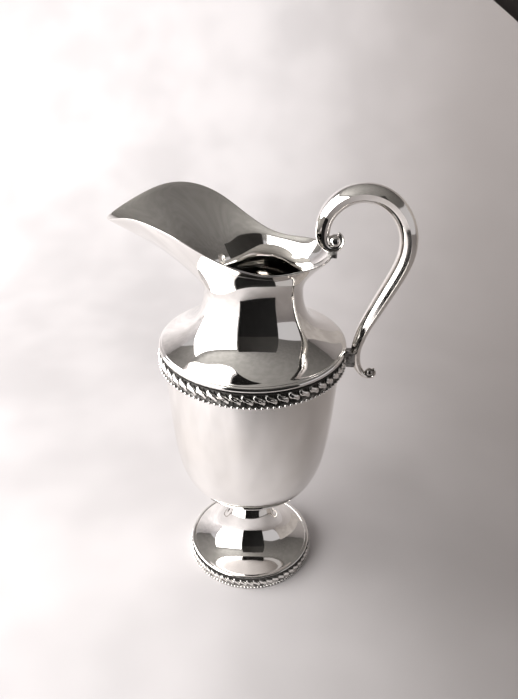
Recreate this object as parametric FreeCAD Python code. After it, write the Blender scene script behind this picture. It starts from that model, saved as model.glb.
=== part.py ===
import FreeCAD, Part
import math
import os

# ---------------------------------------------------------------------------
# Silver water pitcher.  Millimetres, +Z up.  The origin is the centre of the
# foot on the floor; +X points to the handle and -X to the pouring lip.
# ---------------------------------------------------------------------------

# Driving dimensions
WALL = 1.0                  # thickness of the spun and raised silver sheet
FOOT_BORDER_TOP = 8.4       # top of the leaf strip on the foot
FOOT_SKIRT_RADIUS = 42.0    # outside of the turned-down skirt of the foot
FOOT_SKIRT_BOTTOM = 0.6     # the skirt stops just above the floor
JOINT_Z = 55.6              # flat seat between the foot and the bowl
JOINT_RADIUS = 16.8         # outside radius of that seat
BOWL_RIM_RADIUS = 55.8      # outside of the bowl under the shoulder border
SEAM_Z = 179.0              # bowl rim and shoulder flange meet here
FLANGE_RADIUS = 57.8        # outer edge of the shoulder
BORDER_BOTTOM = 165.2       # lower edge of the bead row of the shoulder border
BORDER_TOP = 175.6          # top of the leaf strip, under the plain moulding
NECK_RADIUS = 30.2          # narrowest part of the neck
NECK_Z = 215.3              # height of the narrowest part
LEAF_COUNT = 54             # leaves round the shoulder
FOOT_LEAF_COUNT = 60        # leaves round the foot
HANDLE_WALL = 1.3           # thickness of the hollow handle
RELIEF_SINK = 0.35          # how far relief is sunk into its strip


def vec(x, y, z):
    return FreeCAD.Vector(x, y, z)


def spline_through(points):
    """Open interpolated curve through (radius, height) points in the XZ plane."""
    curve = Part.BSplineCurve()
    curve.interpolate([vec(r, 0, z) for r, z in points])
    return curve


def offset_points(curve, distance, count):
    """(radius, height) points beside a profile curve, to its left."""
    first, last = curve.FirstParameter, curve.LastParameter
    found = []
    for i in range(count + 1):
        t = first + (last - first) * i / count
        here = curve.value(t)
        along = curve.tangent(t)[0]
        found.append((here.x - along.z * distance, here.z + along.x * distance))
    return found


def revolve(edges):
    """Full turn about Z of the face inside the edges."""
    face = Part.Face(Part.Wire(Part.__sortEdges__(edges)))
    solid = face.revolve(vec(0, 0, 0), vec(0, 0, 1), 360)
    if solid.Volume < 0:
        solid.reverse()
    return solid


def line(a, b):
    return Part.makeLine(vec(a[0], 0, a[1]), vec(b[0], 0, b[1]))


def polygon_ring(points):
    """Ring turned from straight (radius, height) corners."""
    edges = []
    for i, here in enumerate(points):
        edges.append(line(here, points[(i + 1) % len(points)]))
    return revolve(edges)


def write(shape, name):
    shape.exportStep("parts/" + name + ".step")
    print(name, "solids", len(shape.Solids), "valid", shape.isValid(),
          "volume", round(shape.Volume, 1))


# ---------------------------------------------------------------------------
# Bowl
# ---------------------------------------------------------------------------
BOWL_OUTLINE = [
    (17.0, JOINT_Z), (21.6, 57.4), (27.4, 60.4), (32.8, 63.8), (37.3, 67.3),
    (41.0, 71.2), (44.1, 75.7), (47.0, 81.8), (49.2, 88.7), (51.3, 99.1),
    (52.6, 109.7), (53.6, 120.3), (54.3, 130.9), (55.0, 143.5), (55.5, 157.3),
    (BOWL_RIM_RADIUS, SEAM_Z)]


def make_bowl():
    outside = spline_through(BOWL_OUTLINE)
    inside_points = offset_points(outside, WALL, 24)
    inside_points[0] = (inside_points[0][0], JOINT_Z + WALL)
    inside_points[-1] = (BOWL_RIM_RADIUS - WALL, SEAM_Z)
    inside = spline_through(inside_points)
    edges = [
        line((0, JOINT_Z), BOWL_OUTLINE[0]),
        outside.toShape(),
        line(BOWL_OUTLINE[-1], inside_points[-1]),
        inside.toShape(),
        line(inside_points[0], (0, JOINT_Z + WALL)),
        line((0, JOINT_Z + WALL), (0, JOINT_Z))]
    return revolve(edges)


# ---------------------------------------------------------------------------
# Foot
# ---------------------------------------------------------------------------
FOOT_OUTLINE = [
    (FOOT_SKIRT_RADIUS, 9.9), (38.6, 10.5), (34.2, 11.6), (29.6, 13.3),
    (25.4, 15.8), (22.0, 18.9), (19.3, 22.3), (17.1, 26.5), (15.5, 31.3),
    (14.7, 36.8), (15.0, 42.3), (15.8, 48.8), (JOINT_RADIUS, JOINT_Z)]


def make_foot_pedestal():
    outside = spline_through(FOOT_OUTLINE)
    inside_points = offset_points(outside, WALL, 24)
    inside_points[-1] = (JOINT_RADIUS - WALL, JOINT_Z)
    edge_r, edge_z = FOOT_OUTLINE[0]
    inner_r = edge_r - WALL
    inside_points[0] = (inner_r, inside_points[0][1])
    inside = spline_through(inside_points)
    edges = [
        outside.toShape(),
        line(FOOT_OUTLINE[-1], inside_points[-1]),
        inside.toShape(),
        line(inside_points[0], (inner_r, FOOT_SKIRT_BOTTOM)),
        line((inner_r, FOOT_SKIRT_BOTTOM), (edge_r, FOOT_SKIRT_BOTTOM)),
        line((edge_r, FOOT_SKIRT_BOTTOM), (edge_r, edge_z))]
    return revolve(edges)


def make_foot_moulding():
    """Half-round wire on top of the foot border, against the skirt."""
    low = (FOOT_SKIRT_RADIUS, FOOT_BORDER_TOP)
    out = (44.0, FOOT_BORDER_TOP)
    top = (FOOT_SKIRT_RADIUS, 10.2)
    arc = Part.Arc(vec(out[0], 0, out[1]), vec(43.6, 0, 9.8), vec(top[0], 0, top[1]))
    return revolve([line(low, out), arc.toShape(), line(top, low)])


# ---------------------------------------------------------------------------
# Leaf and bead relief
# ---------------------------------------------------------------------------
def make_leaf(length, width, edge_height, rib_height):
    """Pointed leaf lying in the YZ plane, rib along Z, standing out along +X."""
    half = length / 2.0
    side = width / 2.0
    tip, root = vec(0, 0, half), vec(0, 0, -half)
    right = Part.Arc(root, vec(0, side, 0), tip).toShape()
    left = Part.Arc(tip, vec(0, -side, 0), root).toShape()
    outline = Part.Face(Part.Wire([right, left]))
    outline.translate(vec(-RELIEF_SINK, 0, 0))
    block = outline.extrude(vec(rib_height + RELIEF_SINK, 0, 0))
    corners = [
        vec(-2 * RELIEF_SINK, -width, -length), vec(-2 * RELIEF_SINK, width, -length),
        vec(edge_height - (rib_height - edge_height), width, -length),
        vec(rib_height, 0, -length),
        vec(edge_height - (rib_height - edge_height), -width, -length)]
    roof = Part.Face(Part.makePolygon(corners + [corners[0]]))
    return block.common(roof.extrude(vec(0, 0, 2 * length)))


def place_round(shape, radius, height, tilt, lean, angle):
    """Copy of a relief piece tilted in its plane, leaned and set at an angle."""
    copy = shape.copy()
    copy.rotate(vec(0, 0, 0), vec(1, 0, 0), tilt)
    copy.rotate(vec(0, 0, 0), vec(0, 1, 0), lean)
    copy.translate(vec(radius, 0, height))
    copy.rotate(vec(0, 0, 0), vec(0, 0, 1), angle)
    return copy


def make_border(strip, leaf, leaf_radius, leaf_z, lean, count, bead_radius,
                bead_ring, bead_z):
    """One cast strip: backing, slanted leaves and two beads under each leaf."""
    step = 360.0 / count
    relief = []
    for i in range(count):
        relief.append(place_round(leaf, leaf_radius, leaf_z, 45, lean, i * step))
    for i in range(2 * count):
        bead = Part.makeSphere(bead_radius, vec(bead_ring, 0, bead_z))
        bead.rotate(vec(0, 0, 0), vec(0, 0, 1), (i + 0.5) * step / 2)
        relief.append(bead)
    return strip.multiFuse(relief)


def make_shoulder_border():
    strip = polygon_ring([
        (BOWL_RIM_RADIUS, BORDER_BOTTOM + 0.3), (58.6, BORDER_BOTTOM + 0.3),
        (58.6, BORDER_BOTTOM + 2.3), (58.0, BORDER_TOP), (BOWL_RIM_RADIUS, BORDER_TOP)])
    leaf = make_leaf(9.4, 4.3, 0.7, 1.9)
    return make_border(strip, leaf, 58.3, BORDER_TOP - 3.9, -4, LEAF_COUNT, 1.05, 58.9,
                       BORDER_BOTTOM + 1.15)


def make_foot_border():
    strip = polygon_ring([
        (FOOT_SKIRT_RADIUS, 0), (44.6, 0), (44.6, 1.9), (43.6, FOOT_BORDER_TOP),
        (FOOT_SKIRT_RADIUS, FOOT_BORDER_TOP)])
    leaf = make_leaf(6.6, 3.0, 0.5, 1.2)
    return make_border(strip, leaf, 44.1, 5.1, -8, FOOT_LEAF_COUNT, 0.75, 44.8, 0.95)


def make_shoulder_moulding():
    """Plain half-round wire under and round the shoulder flange."""
    low_out = vec(58.2, 0, BORDER_TOP)
    high_out = vec(58.1, 0, SEAM_Z + WALL)
    bulge = Part.Arc(low_out, vec(59.0, 0, SEAM_Z - 1.2), high_out)
    edges = [
        line((BOWL_RIM_RADIUS, BORDER_TOP), (58.2, BORDER_TOP)),
        bulge.toShape(),
        line((58.1, SEAM_Z + WALL), (FLANGE_RADIUS, SEAM_Z + WALL)),
        line((FLANGE_RADIUS, SEAM_Z + WALL), (FLANGE_RADIUS, SEAM_Z)),
        line((FLANGE_RADIUS, SEAM_Z), (BOWL_RIM_RADIUS, SEAM_Z)),
        line((BOWL_RIM_RADIUS, SEAM_Z), (BOWL_RIM_RADIUS, BORDER_TOP))]
    return revolve(edges)


# ---------------------------------------------------------------------------
# Upper body: shoulder, neck and helmet lip in one sheet
# ---------------------------------------------------------------------------
# Shoulder and neck below the lip: (radius, height) of the outer face.
NECK_OUTLINE = [
    (FLANGE_RADIUS, SEAM_Z + WALL), (56.0, 180.5), (52.4, 181.8), (46.8, 184.6),
    (41.0, 188.5), (36.4, 193.4), (33.2, 199.0), (31.3, 205.1), (30.4, 210.4),
    (NECK_RADIUS, NECK_Z)]

# The lip at a few turns round from the handle (degrees): radius and height of
# the edge, then the rise of the wall: how far up it starts to lean outward,
# and the two fractions (outward, upward) that shape its curve to the edge.
LIP_STATIONS = [
    (0, 46.4, 238.2, 0.30, 0.30, 0.56, 0.78, 0.76),
    (28, 44.0, 238.4, 0.32, 0.24, 0.58, 0.66, 0.80),
    (50, 38.8, 237.1, 0.34, 0.16, 0.61, 0.52, 0.83),
    (72, 36.8, 237.2, 0.34, 0.10, 0.60, 0.44, 0.82),
    (91, 39.8, 241.0, 0.30, 0.12, 0.56, 0.46, 0.80),
    (107, 47.4, 247.9, 0.26, 0.17, 0.50, 0.55, 0.76),
    (120, 55.2, 256.6, 0.22, 0.24, 0.42, 0.66, 0.70),
    (134, 62.2, 263.5, 0.18, 0.28, 0.37, 0.70, 0.66),
    (148, 68.6, 265.4, 0.15, 0.26, 0.34, 0.68, 0.64),
    (163, 76.4, 261.3, 0.15, 0.18, 0.33, 0.62, 0.66),
    (180, 87.0, 254.2, 0.16, 0.08, 0.32, 0.54, 0.71)]

TURNS = 36                  # meridians round the upper body
RISES = 9                   # rows of the lip above the neck


def lip_values(turn):
    """Smooth in-between of the stations, the same on both sides."""
    turn = abs((turn + 180.0) % 360.0 - 180.0)
    rows = [(-s[0],) + s[1:] for s in reversed(LIP_STATIONS[1:3])]
    rows += list(LIP_STATIONS)
    rows += [(360 - s[0],) + s[1:] for s in reversed(LIP_STATIONS[-3:-1])]
    k = 0
    while rows[k + 1][0] < turn:
        k += 1
    k = min(max(k, 1), len(rows) - 3)
    before, low, high, after = rows[k - 1], rows[k], rows[k + 1], rows[k + 2]
    span = high[0] - low[0]
    t = (turn - low[0]) / span
    h00 = 2 * t ** 3 - 3 * t ** 2 + 1
    h10 = t ** 3 - 2 * t ** 2 + t
    h01 = -2 * t ** 3 + 3 * t ** 2
    h11 = t ** 3 - t ** 2
    values = []
    for i in range(1, len(low)):
        slope_low = (high[i] - before[i]) / (high[0] - before[0]) * span
        slope_high = (after[i] - low[i]) / (after[0] - low[0]) * span
        values.append(h00 * low[i] + h10 * slope_low + h01 * high[i] + h11 * slope_high)
    return values


def lip_point(turn, t):
    """Point of the outer face of the lip; t runs 0 at the neck to 1 at the edge."""
    radius, height, start, out2, up2, out3, up3 = lip_values(turn)
    reach, rise = radius - NECK_RADIUS, height - NECK_Z
    poles = [(0, 0), (0, start), (out2, up2), (out3, up3), (1, 1)]
    weights = [(1 - t) ** 4, 4 * t * (1 - t) ** 3, 6 * t ** 2 * (1 - t) ** 2,
               4 * t ** 3 * (1 - t), t ** 4]
    out = sum(w * p[0] for w, p in zip(weights, poles))
    up = sum(w * p[1] for w, p in zip(weights, poles))
    r = NECK_RADIUS + out * reach
    a = math.radians(turn)
    return vec(r * math.cos(a), r * math.sin(a), NECK_Z + up * rise)


def neck_point(turn, r, z):
    a = math.radians(turn)
    return vec(r * math.cos(a), r * math.sin(a), z)


def outer_grid():
    """Rows of points round the upper body, from the flange up to the lip edge."""
    rows = []
    for r, z in NECK_OUTLINE:
        rows.append([neck_point(360.0 * j / TURNS, r, z) for j in range(TURNS)])
    for i in range(1, RISES + 1):
        t = i / float(RISES)
        rows.append([lip_point(360.0 * j / TURNS, t) for j in range(TURNS)])
    return rows


def grid_surface(rows):
    """Surface through rows of points, closed round and open from row to row."""
    steps = list(range(TURNS + 1))
    round_curves = []
    for row in rows:
        curve = Part.BSplineCurve()
        curve.interpolate(Points=row, PeriodicFlag=True, Parameters=steps)
        round_curves.append(curve)
    lengths = [0.0]
    for low, high in zip(rows[:-1], rows[1:]):
        gap = sum((b - a).Length for a, b in zip(low, high)) / TURNS
        lengths.append(lengths[-1] + gap ** 0.5)
    columns = []
    for j in range(len(round_curves[0].getPoles())):
        column = Part.BSplineCurve()
        column.interpolate(Points=[c.getPoles()[j] for c in round_curves],
                           Parameters=lengths)
        columns.append(column)
    net = [column.getPoles() for column in columns]
    surface = Part.BSplineSurface()
    surface.buildFromPolesMultsKnots(
        net, round_curves[0].getMultiplicities(), columns[0].getMultiplicities(),
        round_curves[0].getKnots(), columns[0].getKnots(), True, False, 3, 3)
    return surface, lengths


def inner_grid(surface, lengths, rows):
    """The same rows moved inward by the sheet thickness."""
    inside = []
    for i, row in enumerate(rows):
        moved = []
        for j, here in enumerate(row):
            normal = surface.normal(j, lengths[i])
            if normal.dot(vec(here.x, here.y, 0)) < 0:
                normal = normal * -1
            moved.append(here - normal * WALL)
        inside.append(moved)
    for i in (0, 1):
        for j, here in enumerate(rows[i]):
            inside[i][j] = vec(here.x, here.y, SEAM_Z)
    return inside


def make_upper_body():
    rows = outer_grid()
    outside, lengths = grid_surface(rows)
    inside, inner_lengths = grid_surface(inner_grid(outside, lengths, rows))
    faces = [outside.toShape(), inside.toShape()]
    for end in (0, -1):
        outer_edge = outside.vIso(lengths[end]).toShape()
        inner_edge = inside.vIso(inner_lengths[end]).toShape()
        faces.append(Part.makeRuledSurface(outer_edge, inner_edge))
    shell = Part.makeShell(faces)
    shell.sewShape()
    solid = Part.makeSolid(Part.Shell(shell.Faces))
    if solid.Volume < 0:
        solid.reverse()
    return solid


# ---------------------------------------------------------------------------
# Handle
# ---------------------------------------------------------------------------
# Centre line in the XZ plane with the depth of the section: (x, z, depth).
HANDLE_LINE = [
    (39.4, 252.6, 8.6), (40.0, 257.9, 9.4), (42.6, 264.0, 10.2), (47.2, 269.5, 10.9),
    (53.6, 273.7, 11.4), (61.4, 275.3, 11.5), (69.4, 274.2, 11.5), (76.8, 270.3, 11.4),
    (82.9, 263.8, 11.2), (86.9, 255.8, 11.0), (88.5, 246.9, 10.8), (87.8, 238.3, 10.6),
    (85.2, 229.8, 10.4), (81.8, 221.6, 10.1), (78.2, 213.5, 9.8), (74.6, 205.4, 9.4),
    (71.0, 197.2, 8.8), (67.9, 188.9, 8.0), (65.9, 180.7, 7.0), (65.0, 174.8, 6.4),
    (65.2, 170.1, 6.0)]
TOP_CURL = [
    (39.4, 252.6, 8.6), (39.9, 247.3, 7.4), (42.1, 243.2, 5.8), (45.9, 241.2, 4.2),
    (49.6, 242.4, 3.0), (51.3, 245.8, 2.3), (50.6, 249.3, 1.8), (48.2, 251.5, 1.5)]
BOTTOM_CURL = [
    (65.2, 170.1, 6.0), (66.3, 165.1, 5.4), (68.6, 160.7, 4.5), (71.8, 157.4, 3.5),
    (75.2, 156.2, 2.7), (78.0, 157.7, 2.2), (78.4, 160.5, 1.8), (76.6, 162.8, 1.5)]


def centre_curve(line_points):
    curve = Part.BSplineCurve()
    curve.interpolate([vec(x, 0, z) for x, z, depth in line_points])
    return curve


def section_frames(line_points, flip):
    """(centre, outward direction, depth) at every point of a centre line."""
    curve = centre_curve(line_points)
    frames = []
    for x, z, depth in line_points:
        here = vec(x, 0, z)
        along = curve.tangent(curve.parameter(here))[0]
        outward = vec(-along.z, 0, along.x) * flip
        frames.append((here, outward, depth))
    return frames


def section_corners(frame, shrink):
    """Corners of the section: crown, two crisp edges, two lower edges, keel."""
    centre, outward, depth = frame
    side = vec(0, 1, 0)
    width = 1.3 * depth - 2.2 * shrink
    low_width = 1.0 * depth - 2.0 * shrink
    crown = centre + outward * (0.5 * depth - shrink)
    edge = centre + outward * (0.1 * depth)
    low = centre - outward * (0.18 * depth)
    keel = centre - outward * (0.5 * depth - shrink)
    return (crown, edge - side * (width / 2), edge + side * (width / 2),
            low - side * (low_width / 2), low + side * (low_width / 2), keel)


def crown_wire(frame):
    crown, left, right, low_left, low_right, keel = section_corners(frame, 0)
    return Part.Wire([Part.Arc(left, crown, right).toShape(), Part.makeLine(right, left)])


def channel_wire(frame):
    crown, left, right, low_left, low_right, keel = section_corners(frame, 0)
    return Part.Wire([
        Part.makeLine(left, right), Part.makeLine(right, low_right),
        Part.Arc(low_right, keel, low_left).toShape(), Part.makeLine(low_left, left)])


def full_wire(frame, shrink):
    crown, left, right, low_left, low_right, keel = section_corners(frame, shrink)
    return Part.Wire([
        Part.Arc(left, crown, right).toShape(), Part.makeLine(right, low_right),
        Part.Arc(low_right, keel, low_left).toShape(), Part.makeLine(low_left, left)])


def stretched(frames, reach):
    """The frames with both ends pushed out a little, so a cut runs clean through."""
    first, second = frames[0], frames[1]
    last, before = frames[-1], frames[-2]
    out_first = (first[0] - second[0]).normalize() * reach
    out_last = (last[0] - before[0]).normalize() * reach
    longer = [(first[0] + out_first, first[1], first[2])]
    longer += frames
    longer.append((last[0] + out_last, last[1], last[2]))
    return longer


def loft(wires):
    """Smooth solid through closed sections, facing outward."""
    solid = Part.makeLoft(wires, True, False)
    if solid.Volume < 0:
        solid.reverse()
    return solid


def make_handle_strips():
    frames = section_frames(HANDLE_LINE, 1)
    crown = loft([crown_wire(f) for f in frames])
    channel = loft([channel_wire(f) for f in frames])
    hollow = loft([full_wire(f, HANDLE_WALL) for f in stretched(frames, 0.4)])
    return crown.cut(hollow), channel.cut(hollow)


def make_scroll(curl, flip, ball_centre, ball_radius):
    frames = section_frames(curl, flip)
    strap = loft([full_wire(f, 0) for f in frames])
    ball = Part.makeSphere(ball_radius, vec(ball_centre[0], 0, ball_centre[1]))
    return strap.fuse(ball)


def box(x0, x1, y0, y1, z0, z1):
    return Part.makeBox(x1 - x0, y1 - y0, z1 - z0, vec(x0, y0, z0))


def only_solid(shape):
    """The largest solid of a cut result."""
    return sorted(shape.Solids, key=lambda s: s.Volume)[-1]


def make_upper_pad(scroll, upper):
    """The saddle of solder between the upper curl and the edge of the lip."""
    block = box(43.2, 48.6, -3.0, 3.0, 237.0, 241.0)
    return only_solid(block.cut(scroll).cut(upper))


def make_lower_pad(strips, scroll, border, moulding):
    block = box(57.4, 64.6, -3.6, 3.6, 164.6, 174.4)
    rest = block
    for tool in list(strips) + [scroll, border, moulding]:
        rest = rest.cut(tool)
    return only_solid(rest)


def main():
    os.makedirs("parts", exist_ok=True)
    write(make_bowl(), "bowl")
    write(make_foot_pedestal(), "foot_pedestal")
    write(make_foot_moulding(), "foot_moulding")
    write(make_foot_border(), "foot_border")
    border = make_shoulder_border()
    write(border, "shoulder_border")
    moulding = make_shoulder_moulding()
    write(moulding, "shoulder_moulding")
    upper = make_upper_body()
    write(upper, "upper_body")
    strips = make_handle_strips()
    write(strips[0], "handle_outer_strip")
    write(strips[1], "handle_inner_strip")
    top = make_scroll(list(reversed(TOP_CURL)), 1, (46.4, 246.5), 4.1)
    write(top, "handle_top_scroll")
    bottom = make_scroll(BOTTOM_CURL, 1, (74.7, 159.7), 2.7)
    write(bottom, "handle_bottom_scroll")
    write(make_upper_pad(top, upper), "handle_upper_pad")
    write(make_lower_pad(strips, bottom, border, moulding), "handle_lower_pad")


main()
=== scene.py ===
# %% [markdown]
# # A silver water pitcher
#
# This lesson dresses a finished engineering model of a footed silver water
# pitcher.  The engineering model, called the frame, comes first and is never
# moved.  Every piece modelled here stands in the place of one or more of its
# parts.  The order follows the silversmith's: sheet metal first (bowl, foot,
# neck and lip), then cast strips, then the handle, and the polish last.

# %% Load the frame
import math

import bmesh
import bpy
import numpy as np
from mathutils import Matrix, Vector


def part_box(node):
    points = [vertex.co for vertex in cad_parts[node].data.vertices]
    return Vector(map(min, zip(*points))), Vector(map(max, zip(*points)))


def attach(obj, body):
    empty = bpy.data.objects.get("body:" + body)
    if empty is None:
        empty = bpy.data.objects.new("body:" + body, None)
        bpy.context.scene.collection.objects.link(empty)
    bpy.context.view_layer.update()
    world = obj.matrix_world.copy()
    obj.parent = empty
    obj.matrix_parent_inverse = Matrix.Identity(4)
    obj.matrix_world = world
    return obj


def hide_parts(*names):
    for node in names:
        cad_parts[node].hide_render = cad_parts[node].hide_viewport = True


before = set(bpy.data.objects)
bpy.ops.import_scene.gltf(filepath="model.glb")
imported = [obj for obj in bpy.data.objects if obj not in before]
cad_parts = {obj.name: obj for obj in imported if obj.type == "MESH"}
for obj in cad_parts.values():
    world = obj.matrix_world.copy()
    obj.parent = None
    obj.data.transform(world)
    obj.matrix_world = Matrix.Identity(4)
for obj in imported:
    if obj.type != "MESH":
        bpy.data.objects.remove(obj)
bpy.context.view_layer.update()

MM = 0.001
print("frame nodes:", ", ".join(sorted(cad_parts)))

# %% [markdown]
# ## Smooth outlines
#
# Polished silver shows every kink of its outline as a kink in what it mirrors.
# Straight segments or simple arcs would leave such kinks, so each outline is a
# natural cubic spline, the curve a thin spring takes through a few pins.  It is
# solved here with a small table of equations and then read at even steps.

# %% A spring through the pins
def spring_bends(at, values):
    """How sharply the spring bends at each pin, for values given at the places at."""
    gaps = np.diff(at)
    size = len(at)
    table = np.eye(size)
    right = np.zeros_like(values)
    for i in range(1, size - 1):
        before, after = gaps[i - 1], gaps[i]
        table[i, i - 1:i + 2] = before, 2.0 * (before + after), after
        right[i] = 6.0 * ((values[i + 1] - values[i]) / after
                          - (values[i] - values[i - 1]) / before)
    return np.linalg.solve(table, right)


def read_spring(at, values, bend, place):
    """Value of the spring at one place between its pins."""
    i = min(int(np.searchsorted(at, place, side="right")) - 1, len(at) - 2)
    h, a, b = at[i + 1] - at[i], at[i + 1] - place, place - at[i]
    return (bend[i] * a ** 3 / (6 * h) + bend[i + 1] * b ** 3 / (6 * h)
            + (values[i] / h - bend[i] * h / 6) * a
            + (values[i + 1] / h - bend[i + 1] * h / 6) * b)


def spring_curve(pins, count):
    """Points at even steps of the spring through the pins, by length in their first two values."""
    pins = np.array(pins, dtype=float)
    gaps = np.linalg.norm(np.diff(pins[:, :2], axis=0), axis=1)
    at = np.concatenate([[0.0], np.cumsum(gaps)])
    bend = spring_bends(at, pins)
    return [read_spring(at, pins, bend, place) for place in np.linspace(0.0, at[-1], count)]


PEAK = [(0, 0), (1, 1), (2, 0)]
print("a spring over a peak:", [round(p[1], 2) for p in spring_curve(PEAK, 5)])

# %% [markdown]
# ## Pulling rings
#
# Spun and raised silver is a sheet carried round an axis.  A spin modifier
# would serve the round parts, but the lip isn't round, so all the sheet parts
# are made one way: a circle is added and extruded again and again, and each new
# ring of points is set in its place before the next pull.  The new points come
# in any order, so each is known by the place it still shares with its old one.

# %% The ring puller
SMOOTH_LEVELS = 2
SHEET_CRISP_ANGLE = 50


def start_alone():
    """Leaves edit mode with nothing selected."""
    if bpy.context.object and bpy.context.object.mode != "OBJECT":
        bpy.ops.object.mode_set(mode="OBJECT")
    bpy.ops.object.select_all(action="DESELECT")


def spot_key(point):
    """A name for a place, used to find a point again after an extrude."""
    return tuple(round(c, 7) for c in point)


def pull_rings(name, rings, cap_first=False, cap_last=False):
    """A skin through rings of points in millimetres, with its ends filled if asked."""
    start_alone()
    bpy.ops.mesh.primitive_circle_add(vertices=len(rings[0]), radius=1.0)
    piece = bpy.context.object
    piece.name = name
    piece.data.name = name
    bpy.ops.object.mode_set(mode="EDIT")
    net = bmesh.from_edit_mesh(piece.data)
    current = list(net.verts)
    for vertex, spot in zip(current, rings[0]):
        vertex.co = Vector(spot) * MM
    if cap_first:
        bpy.ops.mesh.edge_face_add()
        net = bmesh.from_edit_mesh(piece.data)
        for face in net.faces:
            face.select = False
        for edge in net.edges:
            edge.select = True
        current = list(net.verts)
    for ring in rings[1:]:
        order = {spot_key(v.co): i for i, v in enumerate(current)}
        if cap_first:
            bpy.ops.mesh.extrude_edges_move()
        else:
            bpy.ops.mesh.extrude_region_move()
        net = bmesh.from_edit_mesh(piece.data)
        chosen = [v for v in net.verts if v.select]
        current = sorted(chosen, key=lambda v: order[spot_key(v.co)])
        for vertex, spot in zip(current, ring):
            vertex.co = Vector(spot) * MM
        bmesh.update_edit_mesh(piece.data)
    if cap_last:
        bpy.ops.mesh.edge_face_add()
    bpy.ops.mesh.select_all(action="SELECT")
    bpy.ops.mesh.normals_make_consistent(inside=False)
    bpy.ops.object.mode_set(mode="OBJECT")
    return piece


def apply_all(piece):
    """Applies every modifier of the piece, in order."""
    start_alone()
    piece.select_set(True)
    bpy.context.view_layer.objects.active = piece
    for modifier in list(piece.modifiers):
        bpy.ops.object.modifier_apply(modifier=modifier.name)


def face_out(piece):
    """Turns an open sheet's faces away from the axis if they look towards it."""
    total = 0.0
    for face in piece.data.polygons:
        away = Vector((face.center.x, face.center.y, 0.0))
        total += face.normal.dot(away) * face.area
    if total < 0:
        piece.data.flip_normals()


def subdivide_smooth(piece):
    """Adds two levels of subdivision, the same on screen and in the render."""
    smooth = piece.modifiers.new("smooth", "SUBSURF")
    smooth.levels = SMOOTH_LEVELS
    smooth.render_levels = SMOOTH_LEVELS


def thicken(piece, wall):
    """Gives a sheet its wall, inward, and rounds its edges by subdivision."""
    face_out(piece)
    solid = piece.modifiers.new("wall", "SOLIDIFY")
    solid.thickness = wall * MM
    solid.offset = -1.0
    solid.use_even_offset = True
    subdivide_smooth(piece)
    apply_all(piece)
    shade(piece, SHEET_CRISP_ANGLE)


def shade(piece, angle):
    """Smooth shading, kept crisp where faces meet at more than the angle."""
    start_alone()
    piece.select_set(True)
    bpy.context.view_layer.objects.active = piece
    bpy.ops.object.shade_smooth_by_angle(angle=math.radians(angle))
    print(piece.name, "faces", len(piece.data.polygons))


def round_ring(radius, height, count):
    """Points of a level circle round the axis."""
    turns = [2 * math.pi * j / count for j in range(count)]
    return [(radius * math.cos(a), radius * math.sin(a), height) for a in turns]


# %% [markdown]
# ## Bowl
#
# The bowl is a spun urn of millimetre sheet.  Its bottom is flat where it sits
# on the foot, and its rim stays open under the shoulder.

# %% Spin the bowl
WALL = 1.0
ROUND_STEPS = 56
BOWL_RINGS = 26
SEAT_RADII = (3.0, 10.0, 15.5)
SEAT_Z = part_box("bowl")[0][2] / MM
SEAM_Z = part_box("bowl")[1][2] / MM
BOWL_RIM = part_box("bowl")[1][0] / MM
BOWL_PINS = [
    (17.0, SEAT_Z), (21.6, 57.4), (27.4, 60.4), (32.8, 63.8), (37.3, 67.3),
    (41.0, 71.2), (44.1, 75.7), (47.0, 81.8), (49.2, 88.7), (51.3, 99.1),
    (52.6, 109.7), (53.6, 120.3), (54.3, 130.9), (55.0, 143.5), (55.5, 157.3),
    (BOWL_RIM, SEAM_Z)]


def make_bowl():
    """The flat seat, closed in the middle, and the wall up to the open rim."""
    rings = [round_ring(r, SEAT_Z, ROUND_STEPS) for r in SEAT_RADII]
    rings += [round_ring(r, z, ROUND_STEPS) for r, z in spring_curve(BOWL_PINS, BOWL_RINGS)]
    bowl = pull_rings("bowl_sheet", rings, cap_first=True)
    thicken(bowl, WALL)
    return bowl


bowl = make_bowl()

# %% [markdown]
# ## Foot
#
# The foot is a trumpet of the same sheet, open below, whose edge is turned
# down into a short skirt that carries the border.  The turn is a tight bend,
# so two rings sit close together there.

# %% Spin the foot
SKIRT_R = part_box("foot_pedestal")[1][0] / MM
SKIRT_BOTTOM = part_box("foot_pedestal")[0][2] / MM
FOOT_PINS = [
    (SKIRT_R - 0.5, 9.9), (38.6, 10.5), (34.2, 11.6), (29.6, 13.3),
    (25.4, 15.8), (22.0, 18.9), (19.3, 22.3), (17.1, 26.5), (15.5, 31.3),
    (14.7, 36.8), (15.0, 42.3), (15.8, 48.8), (16.8, SEAT_Z)]
SKIRT_HEIGHTS = (SKIRT_BOTTOM, 3.0, 8.6, 9.6)
FOOT_RINGS = 24


def make_foot():
    """The skirt first, then the trumpet up to the bowl."""
    rings = [round_ring(SKIRT_R, z, ROUND_STEPS) for z in SKIRT_HEIGHTS]
    rings += [round_ring(r, z, ROUND_STEPS) for r, z in spring_curve(FOOT_PINS, FOOT_RINGS)]
    foot = pull_rings("foot_sheet", rings)
    thicken(foot, WALL)
    return foot


foot = make_foot()

# %% [markdown]
# ## Shoulder, neck and helmet lip
#
# One raised sheet runs from the flange over the hollow shoulder, up the neck
# and out into the lip.  Below the neck it is round.  Above it, every meridian
# has its own height and its own lean: low and flared at the handle, lowest at
# the sides, and drawn far forward at the pouring end.  The edge and the lean
# are given at eleven turns, a smooth curve fills in between, and a curve of
# five poles carries the wall from the neck to the edge.

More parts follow.
